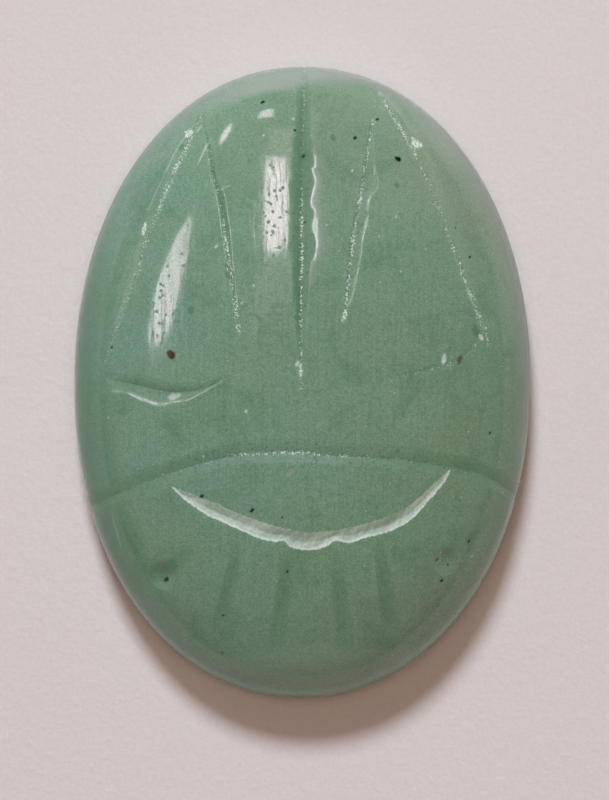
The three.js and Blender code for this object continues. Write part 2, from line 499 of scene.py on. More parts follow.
def seam(depth):
    line = [(0.0, 1.05), (-0.005, 0.916), (-0.010, 0.722), (-0.010, 0.581), (-0.008, 0.440),
            (-0.008, 0.341), (-0.008, 0.254), (-0.007, 0.121), (-0.003, -0.018)]
    right_edge = [(0.047, 0.713), (0.048, 0.672), (0.037, 0.663), (0.050, 0.625), (0.033, 0.559),
                  (0.051, 0.528), (0.043, 0.481), (0.060, 0.435), (0.049, 0.372)]
    return Mark(
        line, depths=depth * np.array([0.1, 0.3, 0.85, 1, 1, 0.85, 0.6, 0.25, 0]),
        left=[0.1, 0.2, 0.36, 0.36, 0.38, 0.32, 0.24, 0.12, 0.02],
        right=[0.1, 0.2, 0.30, 0.33, 0.34, 0.32, 0.24, 0.12, 0.02],
        bright=[0.2, 0.5, 0.45, 0.6, 0.9, 1.0, 0.9, 0.6, 0.5], forms=(SOFT, SOFT),
        shade=0.5, dull=0.8, grain=0.085, edges=[(1, right_edge, 1.4)],
        sheen_halo=(1, 0.5, [0, 0, 0.35, 0.9, 0.9, 0.2, 0, 0, 0]))


def wing_marks(depth):
    """Two marks that meet near the tail on each wing case."""
    left_outer = Mark(
        [(-0.447, 0.84), (-0.518, 0.727), (-0.597, 0.594), (-0.675, 0.45), (-0.727, 0.318),
         (-0.795, 0.19), (-0.868, 0.018)],
        depths=depth * np.array([0.1, 0.8, 1, 0.9, 0.7, 0.4, 0]),
        left=[0.03, 0.06, 0.07, 0.07, 0.06, 0.05, 0.02],
        right=[0.06, 0.26, 0.3, 0.3, 0.28, 0.2, 0.05],
        bright=[0.5, 0.85, 0.8, 0.65, 0.6, 0.5, 0.2],
        edges=[(-1, [(-0.468, 0.814), (-0.511, 0.772), (-0.555, 0.724), (-0.599, 0.654),
                     (-0.641, 0.588), (-0.679, 0.525)], 0.4)],
        forms=(SHARP, SOFT), shade=0.1, dull=0.8, grain=0.15)
    left_inner = Mark(
        [(-0.44, 0.828), (-0.409, 0.722), (-0.39, 0.64), (-0.36, 0.57), (-0.335, 0.45),
         (-0.302, 0.296), (-0.268, 0.141)],
        depths=depth * np.array([0.1, 0.6, 0.8, 1, 1, 0.6, 0]),
        left=[0.04, 0.1, 0.14, 0.17, 0.18, 0.12, 0.03],
        right=[0.03, 0.07, 0.08, 0.08, 0.07, 0.05, 0.02],
        bright=[0.2, 0.45, 0.6, 0.65, 0.9, 0.7, 0.4], forms=(SOFT, SHARP), shade=0.4,
        dull=0.8, grain=0.11)
    right_outer = Mark(
        [(0.324, 0.912), (0.386, 0.837), (0.464, 0.742), (0.53, 0.638), (0.6, 0.516),
         (0.669, 0.382), (0.73, 0.265), (0.776, 0.185), (0.82, 0.09)],
        depths=depth * np.array([0.1, 0.8, 1, 1, 0.8, 0.7, 0.6, 0.4, 0]),
        left=[0.06, 0.25, 0.3, 0.28, 0.22, 0.2, 0.18, 0.12, 0.04],
        right=[0.03, 0.06, 0.07, 0.07, 0.07, 0.07, 0.06, 0.05, 0.02],
        bright=[0.8, 0.95, 0.9, 0.8, 0.7, 0.7, 0.85, 0.8, 0.3], forms=(SOFT, SHARP),
        shade=0.0, dull=0.8, grain=0.13,
        sheen_halo=(1, 0.8, [0.4, 0.5, 0.4, 0.35, 0.25, 0.15, 0, 0, 0]))
    right_inner = Mark(
        [(0.32, 0.897), (0.29, 0.799), (0.277, 0.728), (0.257, 0.63), (0.228, 0.514),
         (0.204, 0.386), (0.186, 0.265), (0.179, 0.185)],
        depths=depth * np.array([0.1, 0.5, 0.8, 1, 1, 1, 0.7, 0]),
        left=[0.03, 0.08, 0.2, 0.3, 0.3, 0.26, 0.1, 0.02],
        right=[0.04, 0.08, 0.1, 0.1, 0.1, 0.09, 0.06, 0.02],
        bright=[0.2, 0.6, 0.7, 0.85, 0.9, 0.95, 0.9, 0.5],
        edges=[(1, [(0.304, 0.691), (0.311, 0.661), (0.322, 0.620), (0.313, 0.599),
                    (0.291, 0.579), (0.279, 0.555), (0.276, 0.504), (0.255, 0.443),
                    (0.246, 0.382), (0.228, 0.321), (0.213, 0.267), (0.189, 0.228)], 0.3)],
        forms=(SOFT, SHARP), shade=0.2, dull=0.9)
    return [left_outer, left_inner, right_outer, right_inner]


def shoulder_marks(depth):
    """A curved nick on the left and a faint one on the right."""
    left = Mark(
        [(-0.885, 0.035), (-0.819, 0.003), (-0.744, -0.008), (-0.6, -0.031), (-0.521, -0.033),
         (-0.444, -0.027), (-0.36, 0.0), (-0.26, 0.032)],
        depths=depth * np.array([0, 0.4, 0.9, 1, 0.8, 0.5, 0.3, 0]),
        left=[0.05, 0.2, 0.28, 0.32, 0.28, 0.2, 0.12, 0.05],
        right=[0.02, 0.16, 0.3, 0.36, 0.3, 0.12, 0.05, 0.02],
        bright=[0.1, 0.15, 0.2, 0.3, 0.35, 0.3, 0.3, 0.1], forms=(SOFT, SHARP), shade=0.25,
        dull=0.9, grain=0.04,
        edges=[(-1, [(-0.836, -0.029), (-0.756, -0.039), (-0.676, -0.062), (-0.608, -0.076),
                     (-0.534, -0.061)], 0.45)])
    right = Mark(
        [(0.39, 0.018), (0.533, 0.042), (0.61, 0.056), (0.674, 0.075), (0.738, 0.118),
         (0.8, 0.17)],
        depths=depth * np.array([0, 0.3, 0.35, 0.3, 0.2, 0]),
        left=[0.02, 0.12, 0.15, 0.15, 0.1, 0.02], right=[0.02, 0.1, 0.12, 0.12, 0.1, 0.02],
        bright=[0, 0.35, 0.45, 0.35, 0.2, 0], forms=(SOFT, SOFT), shade=0.15)
    return [left, right]


def neck_mark(depth):
    line = [(-1.03, -0.45), (-0.905, -0.391), (-0.817, -0.36), (-0.667, -0.314),
            (-0.519, -0.275), (-0.368, -0.243), (-0.223, -0.223), (-0.034, -0.219),
            (0.146, -0.227), (0.369, -0.235), (0.559, -0.25), (0.725, -0.271),
            (0.804, -0.29), (0.882, -0.322), (0.939, -0.356), (1.03, -0.42)]
    return Mark(
        line,
        depths=depth * np.array([0.3, 0.5, 0.6, 0.8, 0.9] + 6 * [1] + [0.9, 0.8, 0.6, 0.5, 0.3]),
        left=[0.25] + 14 * [0.40] + [0.25], right=[0.25] + 14 * [0.30] + [0.25],
        bright=[0, 0.1, 0.15, 0.2, 0.35, 0.55, 0.85, 1, 0.75, 0.4, 0.2, 0.15, 0.1, 0.1, 0.1, 0],
        forms=(SOFT, SOFT), shade=[0.3] * 5 + [0.25, 0.15, 0.1, 0.1, 0.1, 0.15, 0.25] + [0.3] * 4,
        dull=0.8, grain=0.09)


def brow(depth):
    upper = [(-0.562, -0.325), (-0.516, -0.339), (-0.441, -0.358), (-0.367, -0.377),
             (-0.294, -0.402), (-0.221, -0.421), (-0.145, -0.440), (-0.07, -0.453),
             (0.003, -0.464), (0.097, -0.462), (0.17, -0.456), (0.245, -0.444),
             (0.319, -0.428), (0.392, -0.408), (0.459, -0.383), (0.518, -0.348),
             (0.562, -0.317), (0.614, -0.285), (0.644, -0.268)]
    lower = [(-0.562, -0.325), (-0.516, -0.36), (-0.471, -0.383), (-0.404, -0.415),
             (-0.33, -0.438), (-0.256, -0.462), (-0.181, -0.485), (-0.122, -0.495),
             (-0.07, -0.494), (-0.04, -0.513), (0.033, -0.521), (0.107, -0.51),
             (0.149, -0.491), (0.209, -0.497), (0.282, -0.48), (0.356, -0.467),
             (0.43, -0.445), (0.489, -0.415), (0.541, -0.372), (0.577, -0.343),
             (0.622, -0.302), (0.644, -0.268)]
    return Crescent(upper, lower, depth, widest=0.4)


def rays(depth):
    """Four soft rays that fan out from the brow, as [near, far, start, end] in shares."""
    fan = [(-0.265, -0.366, -0.49, -0.83), (-0.06, -0.109, -0.51, -0.9),
           (0.143, 0.205, -0.505, -0.9), (0.33, 0.405, -0.485, -0.82)]
    return [
        Mark([(near, start), ((2 * near + far) / 3, (2 * start + end) / 3),
              ((near + 2 * far) / 3, (start + 2 * end) / 3), (far, end)],
             depths=[0, depth, 0.8 * depth, 0], left=[0.2, 0.3, 0.34, 0.3],
             right=[0.15, 0.24, 0.3, 0.3], bright=[0, 0, 0, 0], forms=(BOWL, BOWL), shade=0.25,
             dull=0.3)
        for near, far, start, end in fan]


def eyes(radius, depth):
    places = [(-0.603, -0.608), (0.633, -0.553)]
    return [
        Patch(place, radius, radius, 0, depth=depth, shade=0.15, dull=0.7) for place in places]


def chips():
    """Bruises at the ends and edges of the cuts, the scratches on the dome, and patches of painted
    highlight, sheen, shade and light.
    """
    return [
        Patch((-0.554, -0.047), 0.2, 0.09, 80, depth=0.02, frost_and_painted_light=0.75),
        Patch((-0.717, -0.050), 0.27, 0.035, 113, frost_and_painted_light=0.8),
        Patch((0.608, 0.073), 0.14, 0.07, 10, depth=0.03, frost_and_painted_light=0.95),
        Patch((-0.007, 0.036), 0.17, 0.07, 0, frost_and_painted_light=0.45, spark=0.9),
        Patch((-0.020, 0.057), 0.09, 0.06, 40, frost_and_painted_light=0.8),
        Patch((0.180, 0.206), 0.17, 0.06, 15, frost_and_painted_light=0.35, spark=0.9),
        Patch((-0.437, 0.713), 0.38, 0.035, 22, frost_and_painted_light=0.55),
        Patch((-0.335, 0.605), 0.16, 0.025, 70, frost_and_painted_light=0.4),
        Patch((-0.502, 0.778), 0.16, 0.12, 30, frost_and_painted_light=0.3, spark=1.0),
        Patch((-0.560, 0.666), 0.14, 0.08, 30, frost_and_painted_light=0.2, spark=0.9),
        Patch((-0.689, 0.478), 0.18, 0.07, 10, frost_and_painted_light=0.3, spark=1.0),
        Patch((0.490, 0.749), 0.17, 0.13, 130, frost_and_painted_light=0.4, spark=1.0),
        Patch((0.470, 0.768), 0.06, 0.04, 130, frost_and_painted_light=1.0),
        Patch((0.772, 0.146), 0.10, 0.07, 130, frost_and_painted_light=0.95),
        Patch((-0.454, 0.794), 0.16, 0.035, 30, frost_and_painted_light=0.6),
        # Painted reflection: a light streak near the left edge
        Patch((-0.800, -0.473), 0.55, 0.03, 165, sheen_and_haze=0.6),
        Patch((-0.047, -0.282), 0.16, 0.06, 60, sheen_and_haze=0.5),
        Patch((0.083, -0.128), 0.20, 0.07, 60, sheen_and_haze=0.35),
        Patch((0.600, -0.545), 0.32, 0.20, 30, spark=0.3),
        # Painted highlight on the chipped right edge of the seam
        Patch((0.056, 0.478), 0.28, 0.05, 0, frost_and_painted_light=1.0),
        # Painted shade on the inner wall of the left eye
        Patch((-0.565, -0.580), 0.30, 0.24, 30, shade=0.35),
        # Painted sheen: pale patches right of the right wing marks
        Patch((0.380, 0.700), 2.40, 1.70, 130, sheen_and_haze=0.10),
        Patch((0.720, 0.560), 1.20, 0.60, 155, sheen_and_haze=0.15),
        Patch((0.720, 0.020), 1.50, 1.00, 0, shade=0.08),
        # Painted light: frost colour and some roughness lighten the head end, which the key light
        # leaves dim
        Patch((0.120, -0.890), 3.40, 0.70, 90, frost_and_painted_light=0.10, dull=0.3),
    ]


# Places and radii in millimetres of the mineral specks and of the bright flecks, mica flakes painted as
# glints
BLACK_SPECKS = [
    (-0.180, 0.877, 0.07), (0.219, 0.763, 0.07), (0.316, 0.825, 0.06), (-0.003, 0.707, 0.06),
    (-0.040, 0.786, 0.05), (-0.825, 0.105, 0.05), (-0.585, -0.623, 0.09), (0.813, -0.153, 0.045),
    (-0.426, -0.356, 0.06), (-0.210, -0.398, 0.07), (-0.058, -0.589, 0.05),
    (0.591, -0.551, 0.05), (0.644, -0.569, 0.03), (0.611, -0.616, 0.06), (0.719, 0.396, 0.045),
    (0.657, 0.487, 0.03), (0.006, 0.498, 0.04), (0.728, -0.492, 0.045), (0.678, -0.725, 0.04),
    (-0.334, -0.730, 0.045), (-0.081, -0.420, 0.03), (-0.336, -0.849, 0.04),
]
FAINT_SPECKS = [
    (0.125, 0.764, 0.08), (-0.234, 0.688, 0.05), (-0.026, 0.202, 0.08), (-0.704, 0.387, 0.06),
    (-0.482, 0.222, 0.10), (-0.882, 0.265, 0.07), (-0.324, 0.364, 0.09), (-0.320, 0.330, 0.09),
    (0.746, 0.165, 0.12), (0.401, 0.617, 0.07), (-0.536, 0.734, 0.10), (0.411, -0.210, 0.06),
]
BRIGHT_FLECKS = [
    (-0.240, -0.092, 0.07), (-0.422, -0.233, 0.05), (0.208, 0.660, 0.07), (0.099, 0.487, 0.05),
    (0.398, 0.518, 0.05), (0.420, 0.346, 0.05), (0.527, 0.417, 0.04), (-0.047, 0.823, 0.06),
    (0.396, -0.031, 0.05), (-0.176, 0.770, 0.05), (-0.373, 0.420, 0.08), (-0.212, 0.298, 0.06),
    (-0.263, 0.244, 0.06), (0.880, -0.340, 0.05), (0.654, -0.354, 0.03), (0.689, -0.356, 0.03),
    (0.743, -0.540, 0.05), (0.719, -0.150, 0.04), (-0.838, -0.115, 0.04), (0.324, 0.455, 0.04),
    (0.863, 0.056, 0.04), (0.746, 0.122, 0.04), (0.559, 0.044, 0.05), (0.764, 0.214, 0.05),
    (0.792, 0.175, 0.05),
]


def minerals():
    found = [Patch((u, v), r, 0.7 * r, 60, speck=0.95) for u, v, r in BLACK_SPECKS]
    found += [Patch((u, v), 1.2 * r, r, 0, shade=0.6) for u, v, r in FAINT_SPECKS]
    found += [Patch((u, v), 0.7 * r, 0.5 * r, 30, frost_and_painted_light=0.8) for u, v, r in BRIGHT_FLECKS]
    found.append(Patch((0.406, 0.699), 0.10, 0.075, 120, speck=1.0))
    found.append(Patch((-0.566, 0.084), 0.15, 0.12, 150, rust=1.0))
    found.append(Patch((0.679, 0.075), 0.13, 0.06, 20, rust=0.75))
    return found


# The painted sheen band round the tail end, a pale colour for the room's reflection on half polished
# stone: [degrees from the tail, inner share, width of its fade, strength]
SHEEN_BAND = [(-180, 1.0, 0.05, 0.0), (-60, 1.0, 0.05, 0.0), (-40, 0.945, 0.04, 0.22),
        (-27, 0.938, 0.03, 0.3), (-20, 0.918, 0.02, 0.4), (-12, 0.911, 0.02, 0.52),
        (-4, 0.908, 0.025, 0.55), (1, 0.926, 0.03, 0.6), (11, 0.946, 0.03, 0.6),
        (16, 0.96, 0.03, 0.6), (24, 0.94, 0.06, 0.55), (40, 0.86, 0.10, 0.48),
        (60, 0.88, 0.10, 0.4), (80, 0.90, 0.08, 0.3), (100, 0.92, 0.08, 0.25),
        (120, 0.97, 0.05, 0.0), (180, 1.0, 0.05, 0.0)]


# Painted shade: the darker zone along the edge, where the light has run out through the side
EDGE_SHADE = [(-180, 0.90, 0.10, 0.0), (-150, 0.85, 0.14, 0.2), (-125, 0.80, 0.16, 0.6),
              (-100, 0.80, 0.16, 0.75), (-75, 0.82, 0.14, 0.65), (-50, 0.88, 0.10, 0.15),
              (-30, 0.95, 0.05, 0.0), (60, 0.90, 0.10, 0.0), (90, 0.82, 0.14, 0.4),
              (120, 0.84, 0.14, 0.3), (150, 0.90, 0.10, 0.05), (180, 0.90, 0.10, 0.0)]


# The outermost edge, which is less polished and rougher, with painted shade that darkens it so that it
# doesn't mirror the table as brightly
RIM_SHADE = [(-180, 0.95, 0.05, 0.3), (-120, 0.95, 0.05, 0.35), (-90, 0.96, 0.05, 0.2),
             (-60, 0.95, 0.05, 0.5), (-30, 0.95, 0.05, 0.4), (30, 0.95, 0.05, 0.4),
             (55, 0.94, 0.06, 0.65), (95, 0.94, 0.06, 0.65), (115, 0.95, 0.05, 0.3),
             (180, 0.95, 0.05, 0.3)]


def round_edge(skin, table, spots):
    """A look that grows towards the edge, as a table tells for turns round the stone."""
    turn, share = skin.turn_and_share(spots)
    turns, starts, fades, strengths = zip(*table)
    start = np.interp(turn, turns, starts)
    fade = np.interp(turn, turns, fades)
    return np.interp(turn, turns, strengths) * np.clip((share - start) / fade, 0, 1)


# Mesh of the stone


# Share of the grid's pitch by which its points are shaken
JITTER = 0.12


def hex_points(skin, pitch, rng):
    """A slightly shaken triangular grid over the whole map."""
    reach_x = skin.end * skin.wide
    reach_y = skin.end * skin.long
    rows = np.arange(-reach_y, reach_y, pitch * math.sqrt(3) / 2)
    columns = np.arange(-reach_x, reach_x, pitch)
    x, y = np.meshgrid(columns, rows)
    x[1::2] += pitch / 2
    spots = np.stack([x.ravel(), y.ravel()], 1)
    return spots + rng.uniform(-JITTER, JITTER, spots.shape) * pitch


class NearField:
    """How far each part of the map is from the nearest detail, kept on a coarse raster."""

    STEP = 0.05

    def __init__(self, skin, details):
        self.low = np.array([-skin.end * skin.wide, -skin.end * skin.long]) - 0.2
        xs = np.arange(self.low[0], -self.low[0], self.STEP)
        ys = np.arange(self.low[1], -self.low[1], self.STEP)
        x, y = np.meshgrid(xs, ys, indexing="ij")
        cells = np.stack([x.ravel(), y.ravel()], 1)
        gap = np.full(len(cells), FAR)
        for detail in details:
            near = near_spots(detail, cells)
            gap[near] = np.minimum(gap[near], detail.gap(cells[near]))
        self.gap = gap.reshape(x.shape)

    def at(self, spots):
        cell = np.round((spots - self.low) / self.STEP).astype(int)
        cell = np.clip(cell, 0, np.array(self.gap.shape) - 1)
        return self.gap[cell[:, 0], cell[:, 1]]


# How far in millimetres a detail can reach from its line
REACH = 1.1


def near_spots(detail, spots):
    """Indices of the map points in a box round a detail."""
    margin = REACH
    if isinstance(detail, Patch):
        corners = detail.centre[None]
        margin = max(margin, 1.3 * detail.half.max())
    elif isinstance(detail, Crescent):
        corners = np.concatenate([detail.upper.route, detail.lower.route])
    else:
        corners = detail.line.route
    low = corners.min(0) - margin
    high = corners.max(0) + margin
    return np.flatnonzero(((spots > low) & (spots < high)).all(1))


# How far from a detail the fine and the middle mesh reach, in millimetres
FINE_TO = 0.045
MIDDLE_TO = 0.25


def mesh_spots(skin, details, sizes):
    """Map points of the mesh: dense on the details, wide apart on the plain dome."""
    rng = np.random.default_rng(SEED)
    field = NearField(skin, details)
    fine = sizes.fine_cell / MM
    plain = sizes.plain_cell / MM
    bands = [(fine, -FAR, FINE_TO), (fine * 1.9, FINE_TO, MIDDLE_TO), (plain, MIDDLE_TO, 2 * FAR)]
    groups = []
    for pitch, low, high in bands:
        spots = hex_points(skin, pitch, rng)
        spots = spots[skin.edge_distance(spots) > pitch * 0.6]
        gap = field.at(spots)
        groups.append(spots[(gap >= low) & (gap < high)])
    return np.concatenate(groups)


def crease_lines(skin, details):
    """Points and edges along the sharp lines of the cuts, so that the mesh follows them."""
    points = []
    edges = []
    for detail in details:
        for line in detail.creases():
            line = line[skin.edge_distance(line) > 0.03]
            first = len(points)
            points.extend(line)
            edges.extend((first + i, first + i + 1) for i in range(len(line) - 1))
    return np.array(points), edges


def triangulate(spots, edges=()):
    vertices = [Vector(spot) for spot in spots]
    found, _, faces, *_ = delaunay_2d_cdt(vertices, list(edges), [], 0, 1e-5, False)
    return np.array([tuple(v) for v in found]), [tuple(face) for face in faces]


LOOKS = ("frost_and_painted_light", "spark", "sheen_and_haze", "shade", "dull", "speck", "rust")


def touch_all(skin, details, spots):
    """Depth and looks of the stone at map points, with the strongest of each look kept."""
    found = {look: np.zeros(len(spots)) for look in ("depth", *LOOKS)}
    for detail in details:
        near = near_spots(detail, spots)
        for look, values in detail.touch(spots[near]).items():
            found[look][near] = np.maximum(found[look][near], values)
    zones = (("sheen_and_haze", SHEEN_BAND), ("shade", EDGE_SHADE), ("shade", RIM_SHADE), ("dull", RIM_SHADE))
    for look, table in zones:
        found[look] = np.maximum(found[look], round_edge(skin, table, spots))
    return found


def base_flat(rim):
    """Flat base inside a rim: its new points and its faces, with the rim's points first."""
    rng = np.random.default_rng(SEED + 5)
    step = 0.4
    x, y = np.meshgrid(
        np.arange(-HALF_WIDTH, HALF_WIDTH, step), np.arange(-HALF_LENGTH, HALF_LENGTH, step))
    flat = np.stack([x.ravel(), y.ravel()], 1) + rng.uniform(-0.1, 0.1, (x.size, 2))
    flat = flat[np.hypot(flat[:, 0] / HALF_WIDTH, flat[:, 1] / HALF_LENGTH) < 0.94]
    spots, faces = triangulate(np.concatenate([rim, flat]))
    below = np.concatenate([spots, np.zeros((len(spots), 1))], 1)
    return below[len(rim):], faces


# Points round the base's edge, the heights in millimetres over which the cuts fade out on the
# girdle, and the angle in degrees from which an edge of the mesh is sharp
RIM_POINTS = 640
FADE_LOW = 0.25
FADE_HIGH = 0.55
SHARP_FROM = 50


def stone_mesh(sizes):
    """The carved stone as one closed mesh, with its looks kept as attributes."""
    skin = Skin(sizes)
    details = [
        seam(sizes.seam_depth / MM), *wing_marks(sizes.wing_depth / MM),
        *shoulder_marks(sizes.shoulder_depth / MM), neck_mark(sizes.neck_depth / MM),
        brow(sizes.brow_depth / MM), *rays(sizes.ray_depth / MM),
        *eyes(sizes.eye_radius / MM, sizes.eye_depth / MM), *chips(), *minerals()]
    for detail in details:
        detail.lay(skin)
    points, edges = crease_lines(skin, details)
    rim = skin.rim(RIM_POINTS, skin.end)
    inside = mesh_spots(skin, details, sizes)
    spots, top_faces = triangulate(np.concatenate([points, inside, rim]), edges)
    found = touch_all(skin, details, spots)
    base, normals = skin.surface(spots)
    fade = np.clip((base[:, 2] - FADE_LOW) / (FADE_HIGH - FADE_LOW), 0, 1)
    vertices = base - normals * (found["depth"] * fade)[:, None]

    rim_index = [int(i) for i in np.flatnonzero(skin.edge_distance(spots) < 1e-4)]
    rim_index.sort(key=lambda i: math.atan2(vertices[i, 1], vertices[i, 0]))
    below, base_faces = base_flat(vertices[rim_index, :2])
    index = rim_index + list(range(len(vertices), len(vertices) + len(below)))
    vertices = np.concatenate([vertices, below])
    faces = top_faces + [tuple(index[i] for i in reversed(face)) for face in base_faces]
    mesh = bpy.data.meshes.new("scarab_stone")
    mesh.from_pydata((vertices * MM).tolist(), [], faces)
    mesh.validate()
    padding = np.zeros(len(below))
    for look in LOOKS:
        attribute = mesh.attributes.new(look, "FLOAT", "POINT")
        values = np.concatenate([found[look], padding])
        attribute.data.foreach_set("value", values.astype(np.float32))
    mesh.shade_smooth()
    mesh.set_sharp_from_angle(angle=math.radians(SHARP_FROM))
    return mesh


# Materials


class Tree:
    """Short calls that build one material's nodes."""

    def __init__(self, name):
        self.material = bpy.data.materials.new(name)
        self.material.use_nodes = True
        self.tree = self.material.node_tree
        self.tree.nodes.clear()

    def add(self, kind, inputs=None, **settings):
        node = self.tree.nodes.new(kind)
        for name, value in settings.items():
            setattr(node, name, value)
        for name, value in (inputs or {}).items():
            self.put(node.inputs[name], value)
        return node

    def put(self, socket, value):
        if isinstance(value, bpy.types.NodeSocket):
            self.tree.links.new(value, socket)
        elif socket.type == "RGBA" and len(value) == 3:
            socket.default_value = (*value, 1.0)
        else:
            socket.default_value = value

    def noise(self, coordinates, size, detail=3.0, rough=0.5, warp=0.0):
        """Noise with features of a given size in millimetres."""
        node = self.add("ShaderNodeTexNoise", {
            "Vector": coordinates, "Scale": 1 / (size * MM), "Detail": detail,
            "Roughness": rough, "Distortion": warp})
        return node.outputs["Fac"]

    def ramp(self, value, low, high, start=0.0, end=1.0):
        node = self.add("ShaderNodeMapRange", {
            "Value": value, "From Min": low, "From Max": high, "To Min": start, "To Max": end})
        return node.outputs["Result"]

    def math(self, operation, a, b=0.0):
        return self.add("ShaderNodeMath", {0: a, 1: b}, operation=operation).outputs[0]

    def times(self, a, b):
        return self.math("MULTIPLY", a, b)

    def most(self, first, *others):
        for value in others:
            first = self.math("MAXIMUM", first, value)
        return first

    def mix(self, share, a, b, blend="MIX"):
        node = self.add("ShaderNodeMix", data_type="RGBA", blend_type=blend)
        self.put(node.inputs[0], share)
        self.put(node.inputs[6], a)
        self.put(node.inputs[7], b)
        return node.outputs[2]

    def grey(self, value):
        return self.add("ShaderNodeCombineXYZ", {0: value, 1: value, 2: value}).outputs[0]

    def attribute(self, name):
        return self.add("ShaderNodeAttribute", attribute_name=name).outputs["Fac"]

    def place(self):
        return self.add("ShaderNodeTexCoord").outputs["Object"]

    def finish(self, shader):
        self.add("ShaderNodeOutputMaterial", {"Surface": shader})
        return self.material


def stone_colour(tree, place, looks):
    """Green quartz: cooler on one side, with clouds, veils, fine grain and bright flecks."""
    side = tree.add("ShaderNodeSeparateXYZ", {0: place}).outputs[0]
    side = tree.ramp(side, -HALF_WIDTH * MM, HALF_WIDTH * MM)
    drift = tree.ramp(tree.noise(place, 5.0, 2.0), 0.3, 0.7, -0.45, 0.45)
    colour = tree.mix(tree.math("ADD", side, drift), looks.cool, looks.warm)
    body = tree.ramp(tree.noise(place, 3.2, 2.0, 0.5, 0.4), 0.42, 0.62, 0.0, 0.8)
    colour = tree.mix(body, colour, looks.body)
    veils = tree.ramp(tree.noise(place, 1.5, 4.0, 0.6, 0.8), 0.5, 0.8, 0.0, 0.45)
    colour = tree.mix(veils, colour, looks.deep)
    grain = tree.ramp(tree.noise(place, 0.16, 4.0, 0.75), 0.3, 0.7, 0.92, 1.08)
    colour = tree.mix(1.0, colour, tree.grey(grain), "MULTIPLY")
    crystals = tree.ramp(tree.noise(place, 0.04, 1.0), 0.3, 0.7, 0.84, 1.16)
    colour = tree.mix(1.0, colour, tree.grey(crystals), "MULTIPLY")
    clots = tree.ramp(tree.noise(place, 0.22, 2.0, 0.6), 0.68, 0.78, 0.0, 0.35)
    colour = tree.mix(clots, colour, looks.deep)
    # Mica flakes painted as bright glints, in the frost colour
    flecks = tree.ramp(tree.noise(place, 0.075, 1.0), 0.74, 0.84, 0.0, 0.6)
    return tree.mix(flecks, colour, looks.frost_and_painted_light)


# Distance between the polish's pits and width of its streaks, in millimetres
PIT_CELL = 0.18
STREAK_WIDTH = 0.048
STREAK_ROUGH = 0.22


def polish_marks(tree, place):
    """Pits and fine streaks that the polishing left on the upper part of the dome."""
    flat = tree.add("ShaderNodeVectorMath", {
        0: place, 1: (1 / (HALF_WIDTH * MM), 1 / (HALF_LENGTH * MM), 0)}, operation="MULTIPLY")
    reach = tree.add("ShaderNodeVectorMath", {0: flat.outputs[0]}, operation="LENGTH")
    upper = tree.ramp(reach.outputs["Value"], 0.65, 0.85, 1.0, 0.0)
    cells = tree.add("ShaderNodeTexVoronoi", {"Vector": place, "Scale": 1 / (PIT_CELL * MM)})
    pits = tree.ramp(cells.outputs["Distance"], 0.24, 0.29, 1.0, 0.0)
    brush = tree.add("ShaderNodeMapping", {"Vector": place, "Scale": (1.0, 0.015, 0.3)})
    streaks = tree.ramp(tree.noise(brush.outputs["Vector"], STREAK_WIDTH, 0.0), 0.50, 0.60)
    return tree.times(pits, upper), tree.times(streaks, upper)


def stone_material(looks):
    tree = Tree("polished_green_stone")
    place = tree.place()
    colour = stone_colour(tree, place, looks)
    colour = tree.mix(tree.attribute("shade"), colour, looks.deep)
    sheen_and_haze = tree.attribute("sheen_and_haze")
    colour = tree.mix(sheen_and_haze, colour, looks.sheen_and_haze)
    pits, streaks = polish_marks(tree, place)
    # Painted shade: pits and streaks darken the colour, so that they show as dark marks in the mirrored
    # lamps
    pit_and_streak_shade = tree.most(tree.times(pits, 0.45), tree.times(streaks, 0.12))
    colour = tree.mix(pit_and_streak_shade, colour, looks.deep)

    bruise = tree.ramp(tree.noise(place, 0.10, 3.0, 0.7), 0.3, 0.7, 0.55, 1.0)
    frost_and_glint_mask = tree.times(tree.attribute("frost_and_painted_light"), bruise)
    # Bruised grains at the bottoms of the cuts, their sparkle painted as bright dots of frost colour
    spark = tree.attribute("spark")
    threshold = tree.ramp(spark, 0.0, 1.0, 0.68, 0.40)
    dots = tree.math("SUBTRACT", tree.noise(place, 0.055, 2.0), threshold)
    dots = tree.times(tree.ramp(dots, 0.0, 0.08), tree.ramp(spark, 0.0, 0.3))
    frost_and_glint_mask = tree.most(frost_and_glint_mask, dots)
    colour = tree.mix(frost_and_glint_mask, colour, looks.frost_and_painted_light)
    colour = tree.mix(tree.attribute("speck"), colour, looks.speck)
    colour = tree.mix(tree.attribute("rust"), colour, looks.rust)

    bare = tree.most(frost_and_glint_mask, tree.attribute("dull"), pits)
    rough = tree.most(
        tree.ramp(sheen_and_haze, 0.0, 1.0, looks.polish, looks.haze_rough),
        tree.ramp(bare, 0.0, 1.0, 0.0, looks.frost_rough), tree.times(streaks, STREAK_ROUGH))
    height = tree.times(tree.noise(place, 0.04, 3.0, 0.7), frost_and_glint_mask)
    bump = tree.add("ShaderNodeBump", {
        "Height": height, "Strength": 0.6, "Distance": 0.02 * MM}).outputs["Normal"]
    shader = tree.add("ShaderNodeBsdfPrincipled", {
        "Base Color": colour, "Roughness": rough, "IOR": 1.54, "Normal": bump,
        "Subsurface Weight": 1.0, "Subsurface Radius": (0.9, 0.8, 0.8),
        "Subsurface Scale": looks.glow_depth, "Subsurface Anisotropy": 0.3})
    return tree.finish(shader.outputs[0])


